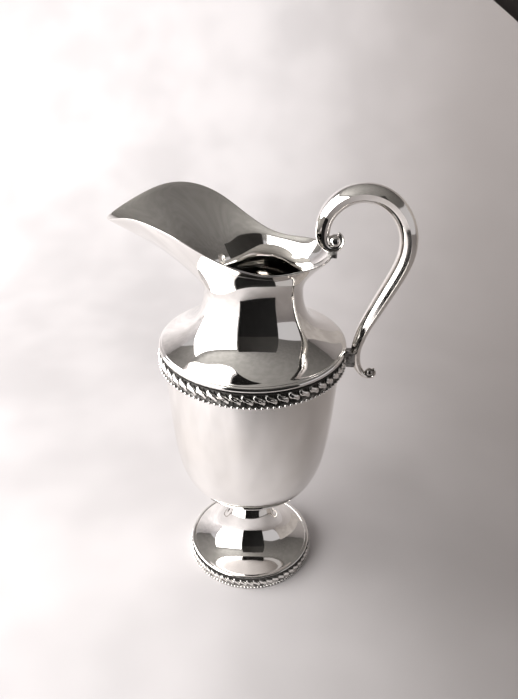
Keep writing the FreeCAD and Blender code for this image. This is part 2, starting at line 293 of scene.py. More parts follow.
# %% Shape of the lip
FLANGE_R = 57.8
NECK_R = 30.2
NECK_Z = 215.3
NECK_PINS = [
    (FLANGE_R, SEAM_Z + WALL), (56.0, 180.5), (52.4, 181.8), (46.8, 184.6),
    (41.0, 188.5), (36.4, 193.4), (33.2, 199.0), (31.3, 205.1), (30.4, 210.4),
    (NECK_R, NECK_Z)]

# turn from the handle in degrees, edge radius, edge height, then the poles:
# rise before leaning out, and two (outward, upward) pairs, all as fractions
LIP_TURNS = [
    (0, 46.4, 238.2, 0.30, 0.30, 0.56, 0.78, 0.76),
    (28, 44.0, 238.4, 0.32, 0.24, 0.58, 0.66, 0.80),
    (50, 38.8, 237.1, 0.34, 0.16, 0.61, 0.52, 0.83),
    (72, 36.8, 237.2, 0.34, 0.10, 0.60, 0.44, 0.82),
    (91, 39.8, 241.0, 0.30, 0.12, 0.56, 0.46, 0.80),
    (107, 47.4, 247.9, 0.26, 0.17, 0.50, 0.55, 0.76),
    (120, 55.2, 256.6, 0.22, 0.24, 0.42, 0.66, 0.70),
    (134, 62.2, 263.5, 0.18, 0.28, 0.37, 0.70, 0.66),
    (148, 68.6, 265.4, 0.15, 0.26, 0.34, 0.68, 0.64),
    (163, 76.4, 261.3, 0.15, 0.18, 0.33, 0.62, 0.66),
    (180, 87.0, 254.2, 0.16, 0.08, 0.32, 0.54, 0.71)]


def turned_over(rows, about):
    """The rows mirrored about a turn, so that the curve runs on evenly past it."""
    mirrored = rows[::-1].copy()
    mirrored[:, 0] = 2.0 * about - mirrored[:, 0]
    return mirrored


def round_the_lip():
    """Smooth table of the lip's seven values at every degree from 0 to 180."""
    pins = np.array(LIP_TURNS, dtype=float)
    pins = np.vstack([turned_over(pins[1:4], 0.0), pins, turned_over(pins[-4:-1], 180.0)])
    at, values = pins[:, 0], pins[:, 1:]
    bend = spring_bends(at, values)
    return [read_spring(at, values, bend, turn) for turn in range(181)]


LIP_TABLE = round_the_lip()


def lip_point(turn, t):
    """Point of the lip's outer face at a whole number of degrees, 0 neck to 1 edge."""
    near_turn = turn if turn <= 180 else 360 - turn
    radius, height, start, out2, up2, out3, up3 = LIP_TABLE[near_turn]
    weights = [(1 - t) ** 4, 4 * t * (1 - t) ** 3, 6 * t ** 2 * (1 - t) ** 2,
               4 * t ** 3 * (1 - t), t ** 4]
    out = weights[2] * out2 + weights[3] * out3 + weights[4]
    up = weights[1] * start + weights[2] * up2 + weights[3] * up3 + weights[4]
    r = NECK_R + out * (radius - NECK_R)
    a = math.radians(turn)
    return (r * math.cos(a), r * math.sin(a), NECK_Z + up * (height - NECK_Z))


MERIDIANS = 72
NECK_RINGS = 16
LIP_RINGS = 14


def make_upper_body():
    """One sheet from the flange to the edge of the lip."""
    turns = [360 * j // MERIDIANS for j in range(MERIDIANS)]
    rings = [round_ring(r, z, MERIDIANS) for r, z in spring_curve(NECK_PINS, NECK_RINGS)]
    for i in range(1, LIP_RINGS + 1):
        rings.append([lip_point(turn, i / LIP_RINGS) for turn in turns])
    upper = pull_rings("shoulder_neck_lip", rings)
    thicken(upper, WALL)
    return upper


upper_body = make_upper_body()

# %% [markdown]
# ## Plain wires
#
# Between shoulder and border, and between foot and border, runs a plain half
# round wire.  Each is a small closed outline, spun once round the axis.

# %% Spin a closed outline
def spin_outline(name, outline, steps, angle=30):
    """Ring turned from a closed outline of (radius, height) points in millimetres."""
    start_alone()
    bpy.ops.mesh.primitive_circle_add(vertices=len(outline), radius=1.0)
    piece = bpy.context.object
    piece.name = name
    piece.data.name = name
    bpy.ops.object.mode_set(mode="EDIT")
    net = bmesh.from_edit_mesh(piece.data)
    for vertex, (r, z) in zip(net.verts, outline):
        vertex.co = Vector((r, 0.0, z)) * MM
    bpy.ops.mesh.spin(steps=steps, angle=2 * math.pi, center=(0, 0, 0), axis=(0, 0, 1))
    bpy.ops.mesh.select_all(action="SELECT")
    bpy.ops.mesh.remove_doubles(threshold=0.00001)
    bpy.ops.mesh.normals_make_consistent(inside=False)
    bpy.ops.object.mode_set(mode="OBJECT")
    shade(piece, angle)
    return piece


# %% The two wires
WIRE_FLAT = 0.6


def half_round(inner, outer, low, high, count):
    """Outline of a wire that bulges outward between two heights."""
    middle, rise = (low + high) / 2.0, (high - low) / 2.0
    turns = [math.pi * (k / (count - 1.0) - 0.5) for k in range(count)]
    flat = inner + WIRE_FLAT
    bulge = [(flat + (outer - flat) * math.cos(a), middle + rise * math.sin(a)) for a in turns]
    return [(inner, low)] + bulge + [(inner, high)]


BORDER_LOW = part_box("shoulder_border")[0][2] / MM
BORDER_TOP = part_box("shoulder_border")[1][2] / MM
SHOULDER_WIRE_INNER = 55.9
SHOULDER_WIRE_GAP = 0.1
wire_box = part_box("shoulder_moulding")
shoulder_wire = spin_outline(
    "shoulder_wire",
    half_round(SHOULDER_WIRE_INNER, wire_box[1][0] / MM, BORDER_TOP,
               wire_box[1][2] / MM - SHOULDER_WIRE_GAP, 13), 192)

FOOT_WIRE_INNER = 41.6
foot_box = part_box("foot_moulding")
foot_wire = spin_outline(
    "foot_wire",
    half_round(FOOT_WIRE_INNER, foot_box[1][0] / MM, foot_box[0][2] / MM,
               foot_box[1][2] / MM, 11), 160)

# %% [markdown]
# ## Leaf and bead borders
#
# Round the shoulder and the foot runs a cast strip of slanted leaves over a row
# of beads.  One leaf, one berry, one stem and one bead are modelled, then
# copied round the strip.  The leaf starts as a small grid: its outline is a
# pointed oval bent like an S, its middle is raised with a vein cut along it.

# %% One leaf
def lay_on_strip(piece, radius, height, turn, lean):
    """Moves a motif from the drawing board (across, up, out) to the strip."""
    stand = Matrix(((0, 0, 1, 0), (1, 0, 0, 0), (0, 1, 0, 0), (0, 0, 0, 1)))
    tip = Matrix.Rotation(math.radians(lean), 4, "Y")
    place = Matrix.Translation((radius * MM, 0, height * MM))
    around = Matrix.Rotation(math.radians(turn), 4, "Z")
    piece.data.transform(around @ place @ tip @ stand)


def slanted(x, y, z, degrees):
    """A point of the drawing board, in millimetres, turned on it and put in metres."""
    slant = math.radians(degrees)
    return (MM * (x * math.cos(slant) - y * math.sin(slant)),
            MM * (x * math.sin(slant) + y * math.cos(slant)), MM * z)


LEAF_SLANT = -47
STEM_SLANT = -52
EDGE_SHARE = 0.99


def make_leaf(length, width, rise, bend):
    """Pointed S-bent leaf in millimetres, lying on the drawing board."""
    start_alone()
    bpy.ops.mesh.primitive_grid_add(x_subdivisions=8, y_subdivisions=6, size=2)
    leaf = bpy.context.object
    for vertex in leaf.data.vertices:
        t, s = vertex.co.x, vertex.co.y
        half = 0.5 * width * (1.0 - abs(t) ** 2.4) ** 0.75 + 0.04
        vein = 0.30 * math.exp(-(s / 0.16) ** 2)
        dome = (1.0 - abs(s) ** 2.6) * (1.0 - 0.55 * t * t) * (1.0 - vein)
        x = 0.5 * length * t
        y = half * s + bend * math.sin(math.pi * t)
        inside = abs(s) < EDGE_SHARE and abs(t) < EDGE_SHARE
        z = rise * (0.18 + 0.82 * dome) if inside else 0.0
        vertex.co = slanted(x, y, z, LEAF_SLANT)
    return close_below(leaf, 0.5)


def close_below(piece, depth):
    """Carries the open edge of a relief piece down into its strip and closes it."""
    bpy.ops.object.mode_set(mode="EDIT")
    bpy.ops.mesh.select_all(action="SELECT")
    bpy.ops.mesh.region_to_loop()
    bpy.ops.mesh.extrude_edges_move(TRANSFORM_OT_translate={"value": (0, 0, -depth * MM)})
    bpy.ops.mesh.edge_face_add()
    bpy.ops.mesh.select_all(action="SELECT")
    bpy.ops.mesh.normals_make_consistent(inside=False)
    bpy.ops.object.mode_set(mode="OBJECT")
    return piece


# %% One stem between two leaves
def make_stem(length, thickness, rise, bend):
    """Thin raised S-line that fills the gap between two leaves."""
    start_alone()
    bpy.ops.mesh.primitive_grid_add(x_subdivisions=7, y_subdivisions=2, size=2)
    stem = bpy.context.object
    for vertex in stem.data.vertices:
        t, s = vertex.co.x, vertex.co.y
        x = 0.5 * length * t
        y = 0.5 * thickness * s * (1.0 - 0.6 * t * t) + bend * math.sin(math.pi * t)
        z = rise * (1.0 - abs(s)) * (1.0 - 0.5 * t * t)
        vertex.co = slanted(x, y, z, STEM_SLANT)
    return close_below(stem, 0.4)


# %% One ball, for berries and beads
def make_ball(radius, segments=10, rings=7):
    """A sphere round the origin, coarse enough to be copied a hundred times."""
    start_alone()
    bpy.ops.mesh.primitive_uv_sphere_add(segments=segments, ring_count=rings, radius=radius * MM)
    return bpy.context.object


# %% Copy a motif round a strip
def copy_round(name, motif, count, start, radius, height, lean, offset=(0, 0, 0)):
    """Joined copies of one motif, each with its own mesh, set evenly round the axis."""
    motif.data.transform(Matrix.Translation(Vector(offset) * MM))
    copies = []
    for i in range(count):
        twin = motif.copy()
        twin.data = motif.data.copy()
        bpy.context.collection.objects.link(twin)
        lay_on_strip(twin, radius, height, start + 360.0 * i / count, lean)
        copies.append(twin)
    bpy.data.objects.remove(motif)
    start_alone()
    for twin in copies:
        twin.select_set(True)
    bpy.context.view_layer.objects.active = copies[0]
    bpy.ops.object.join()
    whole = bpy.context.object
    whole.name = name
    whole.data.name = name
    shade(whole, 60)
    return whole


# %% The shoulder border
LEAVES = 54
HALF_PITCH = 180.0 / LEAVES
LEAF_Z = BORDER_TOP - 4.0
LEAF_RADIUS = 58.25
SHOULDER_LEAN = -4.0
STRIP_BOTTOM = BORDER_LOW + 0.5
shoulder_strip = spin_outline(
    "shoulder_border_strip",
    [(56.0, STRIP_BOTTOM), (58.6, STRIP_BOTTOM), (58.7, BORDER_LOW + 2.4),
     (58.5, BORDER_LOW + 3.0), (58.1, BORDER_TOP - 0.5), (58.5, BORDER_TOP - 0.3),
     (58.5, BORDER_TOP), (56.0, BORDER_TOP)], 216)
shoulder_leaves = copy_round(
    "shoulder_border_leaves", make_leaf(9.6, 4.1, 1.75, 0.75), LEAVES, 0.0,
    LEAF_RADIUS, LEAF_Z, SHOULDER_LEAN)
shoulder_stems = copy_round(
    "shoulder_border_stems", make_stem(8.0, 0.9, 1.25, 0.6), LEAVES, HALF_PITCH,
    LEAF_RADIUS, LEAF_Z - 0.1, SHOULDER_LEAN)
shoulder_berries = copy_round(
    "shoulder_border_berries", make_ball(0.85), LEAVES, HALF_PITCH + 0.6,
    LEAF_RADIUS, LEAF_Z, SHOULDER_LEAN, offset=(0.6, 2.7, 0.35))
shoulder_beads = copy_round(
    "shoulder_border_beads", make_ball(1.05), 2 * LEAVES, HALF_PITCH / 2.0,
    58.9, BORDER_LOW + 1.15, 0.0)

# %% The foot border
FOOT_LEAVES = 60
FOOT_HALF_PITCH = 180.0 / FOOT_LEAVES
FOOT_LEAF_RADIUS = 44.1
FOOT_LEAF_Z = 5.1
FOOT_LEAN = -8.0
foot_strip = spin_outline(
    "foot_border_strip",
    [(42.1, 0.0), (44.5, 0.0), (44.6, 1.8), (44.4, 2.3), (43.7, 7.9), (43.9, 8.1),
     (43.9, 8.4), (42.1, 8.4)], 240)
foot_leaves = copy_round(
    "foot_border_leaves", make_leaf(6.9, 2.9, 1.2, 0.5), FOOT_LEAVES, 0.0,
    FOOT_LEAF_RADIUS, FOOT_LEAF_Z, FOOT_LEAN)
foot_stems = copy_round(
    "foot_border_stems", make_stem(5.6, 0.7, 0.9, 0.4), FOOT_LEAVES, FOOT_HALF_PITCH,
    FOOT_LEAF_RADIUS, FOOT_LEAF_Z - 0.1, FOOT_LEAN)
foot_beads = copy_round(
    "foot_border_beads", make_ball(0.8), 2 * FOOT_LEAVES, FOOT_HALF_PITCH / 2.0,
    44.75, 1.0, 0.0)

# %% [markdown]
# ## Handle
#
# The hollow handle is soldered up from two strips: a broad crowned one outside
# and a keeled channel inside, meeting at a crisp edge on either side.  Both end
# in a small volute.  One spring curve runs from the upper curl to the lower
# one, and the section is set square to it at every step.

# %% The handle's line
# across to the handle, height, depth of the section
HANDLE_PINS = [
    (48.2, 251.5, 1.5), (50.6, 249.3, 1.8), (51.3, 245.8, 2.3), (49.6, 242.4, 3.0),
    (45.9, 241.2, 4.2), (42.1, 243.2, 5.8), (39.9, 247.3, 7.4), (39.4, 252.6, 8.6),
    (40.0, 257.9, 9.4), (42.6, 264.0, 10.2), (47.2, 269.5, 10.9), (53.6, 273.7, 11.4),
    (61.4, 275.3, 11.5), (69.4, 274.2, 11.5), (76.8, 270.3, 11.4), (82.9, 263.8, 11.2),
    (86.9, 255.8, 11.0), (88.5, 246.9, 10.8), (87.8, 238.3, 10.6), (85.2, 229.8, 10.4),
    (81.8, 221.6, 10.1), (78.2, 213.5, 9.8), (74.6, 205.4, 9.4), (71.0, 197.2, 8.8),
    (67.9, 188.9, 8.0), (65.9, 180.7, 7.0), (65.0, 174.8, 6.4), (65.2, 170.1, 6.0),
    (66.3, 165.1, 5.4), (68.6, 160.7, 4.5), (71.8, 157.4, 3.5), (75.2, 156.2, 2.7),
    (78.0, 157.7, 2.2), (78.4, 160.5, 1.8), (76.6, 162.8, 1.5)]
HANDLE_STEPS = 110
STRAP_CRISP_ANGLE = 38


def handle_frames():
    """(centre, outward direction, depth) at even steps of the handle's line."""
    line = spring_curve(HANDLE_PINS, HANDLE_STEPS)
    frames = []
    for i, (x, z, depth) in enumerate(line):
        ahead = line[min(i + 1, HANDLE_STEPS - 1)]
        behind = line[max(i - 1, 0)]
        along = Vector((ahead[0] - behind[0], 0.0, ahead[1] - behind[1])).normalized()
        frames.append((Vector((x, 0.0, z)), Vector((-along.z, 0.0, along.x)), depth))
    return frames


def arc_through(half_width, low, high, count):
    """(side, out) points of a circular arc between two edges over a middle height."""
    rise = high - low
    radius = (half_width ** 2 + rise ** 2) / (2.0 * abs(rise))
    sweep = math.asin(min(half_width / radius, 1.0))
    centre = high - math.copysign(radius, rise)
    points = []
    for k in range(count):
        a = -sweep + 2.0 * sweep * k / (count - 1.0)
        points.append((radius * math.sin(a), centre + math.copysign(radius * math.cos(a), rise)))
    return points


# %% The two sections, crowned outside and keeled inside
JOINT_SHARE = 0.1


def crown_section(depth):
    """Outer strip: a low arch over three points on the plane where the halves meet."""
    edge = 0.65 * depth
    arc = arc_through(edge, JOINT_SHARE * depth, 0.5 * depth, 9)
    under = [(edge * f, JOINT_SHARE * depth) for f in (0.5, 0.0, -0.5)]
    return arc + under


def channel_section(depth):
    """Inner strip: a hanging arch, side faces, and five points on the same plane."""
    edge, half_keel = 0.61 * depth, 0.5 * depth
    keel = arc_through(half_keel, -0.18 * depth, -0.5 * depth, 7)
    over = [(edge * f, JOINT_SHARE * depth) for f in (1.0, 0.5, 0.0, -0.5, -1.0)]
    return keel + over


# %% Pull both strips along the line
def make_strap(name, section, corners):
    """Closed strap along the handle, with the long lines at its corners kept crisp."""
    rings = []
    for centre, outward, depth in handle_frames():
        side = Vector((0.0, 1.0, 0.0))
        rings.append([centre + side * s + outward * o for s, o in section(depth)])
    strap = pull_rings(name, rings, cap_first=True, cap_last=True)
    crease = strap.data.attributes.new("crease_edge", "FLOAT", "EDGE")
    width = len(rings[0])
    for edge in strap.data.edges:
        a, b = edge.vertices
        same_line = a % width == b % width and a != b
        if same_line and a % width in corners:
            crease.data[edge.index].value = corners[a % width]
    subdivide_smooth(strap)
    apply_all(strap)
    shade(strap, STRAP_CRISP_ANGLE)
    return strap


handle_crown = make_strap("handle_crown_strip", crown_section, {0: 1.0, 8: 1.0})
handle_channel = make_strap("handle_channel_strip", channel_section,
                            {0: 0.7, 6: 0.7, 7: 1.0, 11: 1.0})


# %% Balls in the volutes
def make_volute_ball(name, x, z, radius):
    """The ball that a curl of the handle closes round."""
    ball = make_ball(radius, 32, 20)
    ball.name = name
    ball.data.name = name
    ball.data.transform(Matrix.Translation((x * MM, 0.0, z * MM)))
    shade(ball, 60)
    return ball


top_ball = make_volute_ball("upper_volute_ball", 46.4, 246.5, 4.1)
bottom_ball = make_volute_ball("lower_volute_ball", 74.7, 159.7, 2.7)

# %% [markdown]
# ## What each piece stands for
#
# Every new piece rides on the one body, because nothing on the pitcher moves.
# Most stand in for one part of the engineering model.  Each half of the handle
# stands for a strip and the scroll at one of its ends.  Leaves, stems, berries,
# beads and the two balls stand for nothing of their own: they dress a part.

# %% Bodies and nodes
def stands_for(piece, slot, *nodes):
    """Rides on the body and hides the parts it stands for; the slot is not used."""
    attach(piece, "root")
    if nodes:
        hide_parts(*nodes)


stands_for(bowl, "polished_silver", "bowl")
stands_for(foot, "polished_silver", "foot_pedestal")
stands_for(upper_body, "polished_silver", "upper_body")
stands_for(shoulder_wire, "polished_silver", "shoulder_moulding")
stands_for(foot_wire, "polished_silver", "foot_moulding")
stands_for(shoulder_strip, "oxidised_relief", "shoulder_border")
stands_for(foot_strip, "oxidised_relief", "foot_border")
for trim in (shoulder_leaves, shoulder_stems, shoulder_berries, shoulder_beads,
             foot_leaves, foot_stems, foot_beads):
    stands_for(trim, "oxidised_relief")
stands_for(handle_crown, "polished_silver", "handle_outer_strip", "handle_top_scroll")
stands_for(handle_channel, "polished_silver", "handle_inner_strip", "handle_bottom_scroll")
stands_for(top_ball, "scroll_silver")
stands_for(bottom_ball, "scroll_silver")

# %% [markdown]
# ## Camera
#
# The camera looks down at about thirty degrees from close by, so the round
# borders show as wide ovals and the foot looks smaller than it is.  Its place
# is given square to its own line of sight and then turned six degrees round
# the pitcher's axis, which brings the handle a little forward.

# %% Camera
CAMERA_TURN = 6.0
CAMERA_DISTANCE = 0.36076
CAMERA_HEIGHT = 0.38175
CAMERA_PITCH, CAMERA_YAW, CAMERA_ROLL = 30.32, 0.64, -1.03
FRAME_HEIGHT = 699.0
FOCAL_LENGTH_IN_FRAME = 654.4
SENSOR = 36.0


def look(pitch, yaw, roll):
    """Rotation of a camera that looks along +Y, then down, aside and tilted, in degrees."""
    p, y, r = (math.radians(v) for v in (pitch, yaw, roll))
    level = Vector((math.sin(y), math.cos(y), 0.0))
    right = Vector((math.cos(y), -math.sin(y), 0.0))
    high = Vector((0.0, 0.0, 1.0))
    ahead = level * math.cos(p) - high * math.sin(p)
    above = level * math.sin(p) + high * math.cos(p)
    across = right * math.cos(r) - above * math.sin(r)
    upright = right * math.sin(r) + above * math.cos(r)
    return Matrix((across, upright, -ahead)).transposed()


turned = Matrix.Rotation(math.radians(CAMERA_TURN), 3, "Z")
camera = bpy.data.objects.new("camera", bpy.data.cameras.new("camera"))
bpy.context.collection.objects.link(camera)
place = turned @ Vector((0.0, -CAMERA_DISTANCE, CAMERA_HEIGHT))
facing = turned @ look(CAMERA_PITCH, CAMERA_YAW, CAMERA_ROLL)
camera.matrix_world = Matrix.Translation(place) @ facing.to_4x4()
camera.data.lens = SENSOR * FOCAL_LENGTH_IN_FRAME / FRAME_HEIGHT
camera.data.sensor_width = SENSOR
camera.data.clip_start = 0.01
bpy.context.scene.camera = camera
print("camera at", [round(c, 3) for c in place], "lens", round(camera.data.lens, 1))

# %% [markdown]
# ## Building with nodes
#
# A material is a small tree of nodes.  The same four kinds are needed again and
# again: a sum, a change of range, a noise and a mix of two colours.  A short
# helper for each takes either a number or another node's socket, so that the
# recipes below read like recipes.

# %% Small helpers for nodes
def plug(tree, value, socket):
    """Links a socket, or sets a number or colour, as the value asks."""
    if hasattr(value, "is_linked"):
        tree.links.new(value, socket)
    else:
        socket.default_value = value


def new_group(name, inputs, outputs):
    """An empty node group with named sockets, and its two end nodes."""
    group = bpy.data.node_groups.new(name, "ShaderNodeTree")
    for label, kind, value in inputs:
        socket = group.interface.new_socket(label, in_out="INPUT", socket_type=kind)
        socket.default_value = value
    for label, kind in outputs:
        group.interface.new_socket(label, in_out="OUTPUT", socket_type=kind)
    return group, group.nodes.new("NodeGroupInput"), group.nodes.new("NodeGroupOutput")


def math_node(tree, operation, first, second=0.0):
    """The result of a Math node."""
    node = tree.nodes.new("ShaderNodeMath")
    node.operation = operation
    plug(tree, first, node.inputs[0])
    plug(tree, second, node.inputs[1])
    return node.outputs[0]


def range_node(tree, value, low, high, to_low=0.0, to_high=1.0):
    """The result of a Map Range node that eases in and out."""
    node = tree.nodes.new("ShaderNodeMapRange")
    node.interpolation_type = "SMOOTHSTEP"
    plug(tree, value, node.inputs["Value"])
    plug(tree, low, node.inputs["From Min"])
    plug(tree, high, node.inputs["From Max"])
    plug(tree, to_low, node.inputs["To Min"])
    plug(tree, to_high, node.inputs["To Max"])
    return node.outputs["Result"]


def noise_node(tree, vector, scale, detail):
    """A noise between 0 and 1 at the places that the vector gives."""
    node = tree.nodes.new("ShaderNodeTexNoise")
    node.inputs["Detail"].default_value = detail
    plug(tree, vector, node.inputs["Vector"])
    plug(tree, scale, node.inputs["Scale"])
    return node.outputs["Fac"]


def mix_colours(tree, factor, first, second):
    """The first colour at 0, the second at 1."""
    node = tree.nodes.new("ShaderNodeMix")
    node.data_type = "RGBA"
    plug(tree, factor, node.inputs["Factor"])
    plug(tree, first, node.inputs[6])
    plug(tree, second, node.inputs[7])
    return node.outputs[2]


def own_place(tree):
    """Object coordinates: the place on the piece, in metres."""
    return tree.nodes.new("ShaderNodeTexCoord").outputs["Object"]


def stretched(tree, vector, upward):
    """The places with their height multiplied, so that a pattern is drawn out."""
    node = tree.nodes.new("ShaderNodeMapping")
    node.inputs["Scale"].default_value = (1.0, 1.0, upward)
    plug(tree, vector, node.inputs["Vector"])
    return node.outputs["Vector"]


def place_group(tree, group, **values):
    """A group in a material's tree, with its own values."""
    node = tree.nodes.new("ShaderNodeGroup")
    node.node_tree = group
    for label, value in values.items():
        node.inputs[label.replace("_", " ")].default_value = value
    return node


print("node groups so far:", len(bpy.data.node_groups))

# %% [markdown]
# ## A wiped polish
#
# Mirror silver has almost no colour of its own: it shows the room.  What makes
# it look real is faint: a haze of fine scratches that run round the piece, soft
# smudges where the gloss is lower, and a sheet that isn't perfectly true.  A
# flat low roughness would look like chrome, so all three come from noise, in one
# group that the sheet, the bowl, the handle and the balls share.

# %% Group: wiped polish
SCRATCHES_ROUND = 9.0
WAVER_UPRIGHT = 0.28
WAVER_SCALE = 60.0
SMUDGE_SCALE = 16.0
SCRATCH_ROUGHNESS = 0.035
SCRATCH_HEIGHT = 0.004


def build_wiped_polish():
    """Roughness, smudges and height of a hand-wiped polish."""
    group, start, end = new_group(
        "wiped_polish",
        [("Scratch Density", "NodeSocketFloat", 900.0),
         ("Gloss Roughness", "NodeSocketFloat", 0.04),
         ("Smudge Roughness", "NodeSocketFloat", 0.09)],
        [("Roughness", "NodeSocketFloat"), ("Smudge", "NodeSocketFloat"),
         ("Height", "NodeSocketFloat")])
    place = own_place(group)
    scratch = noise_node(group, stretched(group, place, SCRATCHES_ROUND),
                         start.outputs["Scratch Density"], 2.0)
    smudge = range_node(group, noise_node(group, place, SMUDGE_SCALE, 3.0), 0.38, 0.66)
    base = range_node(group, smudge, 0.0, 1.0, start.outputs["Gloss Roughness"],
                      start.outputs["Smudge Roughness"])
    lines = range_node(group, scratch, 0.55, 0.75, 0.0, SCRATCH_ROUGHNESS)
    waver = noise_node(group, stretched(group, place, WAVER_UPRIGHT), WAVER_SCALE, 1.0)
    fine = math_node(group, "MULTIPLY", scratch, SCRATCH_HEIGHT)
    plug(group, math_node(group, "ADD", base, lines), end.inputs["Roughness"])
    plug(group, smudge, end.inputs["Smudge"])
    plug(group, math_node(group, "ADD", waver, fine), end.inputs["Height"])
    return group


WIPED_POLISH = build_wiped_polish()
print("group:", WIPED_POLISH.name)

# %% [markdown]
# ## Settled tarnish
#
# Polishing cloth never reaches the hollows of a cast border, so they stay dark
# and only the high parts are rubbed bright.  Painting the dark parts by hand
# would tie them to one mesh.  On these borders high simply means far from the
# pitcher's axis, so the group measures that distance and roughens the limit
# with a little noise.

# %% Group: settled tarnish
PATCH_SCALE = 260.0
PATCH_REACH = 0.00022


def build_settled_tarnish():
    """Colour of relief that stands out from a strip round the axis, and how rubbed it is."""
    group, start, end = new_group(
        "settled_tarnish",
        [("Hollow Radius", "NodeSocketFloat", 0.0585),
         ("Crest Radius", "NodeSocketFloat", 0.0596),
         ("Hollow Colour", "NodeSocketColor", (0.11, 0.106, 0.10, 1.0)),
         ("Crest Colour", "NodeSocketColor", (0.93, 0.91, 0.88, 1.0))],
        [("Colour", "NodeSocketColor"), ("Rubbed", "NodeSocketFloat")])
    place = own_place(group)
    parts = group.nodes.new("ShaderNodeSeparateXYZ")
    plug(group, place, parts.inputs["Vector"])
    across = math_node(group, "POWER", parts.outputs["X"], 2.0)
    along = math_node(group, "POWER", parts.outputs["Y"], 2.0)
    radius = math_node(group, "SQRT", math_node(group, "ADD", across, along))
    patch = range_node(group, noise_node(group, place, PATCH_SCALE, 2.0), 0.3, 0.7,
                       -PATCH_REACH, PATCH_REACH)
    rubbed = range_node(group, math_node(group, "ADD", radius, patch),
                        start.outputs["Hollow Radius"], start.outputs["Crest Radius"])
    colour = mix_colours(group, rubbed, start.outputs["Hollow Colour"],
                         start.outputs["Crest Colour"])
    plug(group, colour, end.inputs["Colour"])
    plug(group, rubbed, end.inputs["Rubbed"])
    return group


SETTLED_TARNISH = build_settled_tarnish()
print("group:", SETTLED_TARNISH.name)

# %% [markdown]
# ## The metals
#
# Each metal is one shader, fully metallic, with one of the groups placed in it.
# The bowl wavers most, being a wide thin sheet, and the handle's cast-thick
# strips least.  The solder pads are grainy and dull, which neither group gives.

# %% Recipes for metals
TARNISH_ROUGHNESS = 0.42
RUBBED_ROUGHNESS = 0.12


def new_metal(name):
    """A fully metallic material, its tree and its shader."""
    material = bpy.data.materials.new(name)
    material.use_nodes = True
    shader = material.node_tree.nodes["Principled BSDF"]
    shader.inputs["Metallic"].default_value = 1.0
    return material, material.node_tree, shader


def add_bump(tree, shader, height, depth):
    """Lets a height from 0 to 1 tilt the surface, as if it were so deep in metres."""
    bump = tree.nodes.new("ShaderNodeBump")
    bump.inputs["Strength"].default_value = 1.0
    bump.inputs["Distance"].default_value = depth
    plug(tree, height, bump.inputs["Height"])
    plug(tree, bump.outputs["Normal"], shader.inputs["Normal"])


def mirror_silver(name, gloss, smudge, waver, clear, dull):
    """Polished silver: how glossy, how smudged, how untrue the sheet is, two colours."""
    material, tree, shader = new_metal(name)
    wipe = place_group(tree, WIPED_POLISH, Gloss_Roughness=gloss, Smudge_Roughness=smudge)
    plug(tree, mix_colours(tree, wipe.outputs["Smudge"], clear, dull),
         shader.inputs["Base Color"])
    plug(tree, wipe.outputs["Roughness"], shader.inputs["Roughness"])
    add_bump(tree, shader, wipe.outputs["Height"], waver)
    return material


def tarnished_silver(name, hollow, crest):
    """Cast relief, dark up to the hollow radius and bright past the crest radius."""
    material, tree, shader = new_metal(name)
    tarnish = place_group(tree, SETTLED_TARNISH, Hollow_Radius=hollow * MM,
                          Crest_Radius=crest * MM)
    plug(tree, tarnish.outputs["Colour"], shader.inputs["Base Color"])
    rough = range_node(tree, tarnish.outputs["Rubbed"], 0.0, 1.0,
                       TARNISH_ROUGHNESS, RUBBED_ROUGHNESS)
    plug(tree, rough, shader.inputs["Roughness"])
    return material


def solder_metal(name):
    """Dull grainy solder."""
    material, tree, shader = new_metal(name)
    grain = noise_node(tree, own_place(tree), 420.0, 4.0)
    colour = mix_colours(tree, range_node(tree, grain, 0.35, 0.65),
                         (0.16, 0.155, 0.15, 1.0), (0.58, 0.565, 0.55, 1.0))
    plug(tree, colour, shader.inputs["Base Color"])
    plug(tree, range_node(tree, grain, 0.3, 0.7, 0.35, 0.6), shader.inputs["Roughness"])
    add_bump(tree, shader, grain, 0.0003)
    return material


def dress(material, *pieces):
    """Gives the pieces this material and no other."""
    for piece in pieces:
        piece.data.materials.clear()
        piece.data.materials.append(material)
    print(material.name, "on", ", ".join(p.name for p in pieces))


# %% Put the metals on
CLEAR_SILVER = (0.95, 0.935, 0.915, 1.0)
SHEET_SILVER = mirror_silver("sheet_silver", 0.025, 0.06, 0.00012,
                             CLEAR_SILVER, (0.90, 0.88, 0.85, 1.0))
BOWL_SILVER = mirror_silver("bowl_silver", 0.05, 0.09, 0.00045,
                            CLEAR_SILVER, (0.88, 0.855, 0.82, 1.0))
HANDLE_SILVER = mirror_silver("handle_silver", 0.04, 0.09, 0.00006,
                              (0.94, 0.92, 0.90, 1.0), (0.86, 0.83, 0.79, 1.0))
BALL_SILVER = mirror_silver("volute_ball_silver", 0.08, 0.22, 0.0002,
                            (0.90, 0.88, 0.86, 1.0), (0.42, 0.40, 0.38, 1.0))

dress(SHEET_SILVER, foot, upper_body, shoulder_wire, foot_wire)
dress(BOWL_SILVER, bowl)
dress(HANDLE_SILVER, handle_crown, handle_channel)
dress(BALL_SILVER, top_ball, bottom_ball)
dress(tarnished_silver("shoulder_border_silver", 58.5, 59.5),
      shoulder_strip, shoulder_leaves, shoulder_stems, shoulder_berries)
dress(tarnished_silver("shoulder_bead_silver", 58.8, 59.5), shoulder_beads)
dress(tarnished_silver("foot_border_silver", 44.1, 44.9),
      foot_strip, foot_leaves, foot_stems, foot_beads)
dress(solder_metal("solder_grey"),
      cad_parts["handle_upper_pad"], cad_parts["handle_lower_pad"])
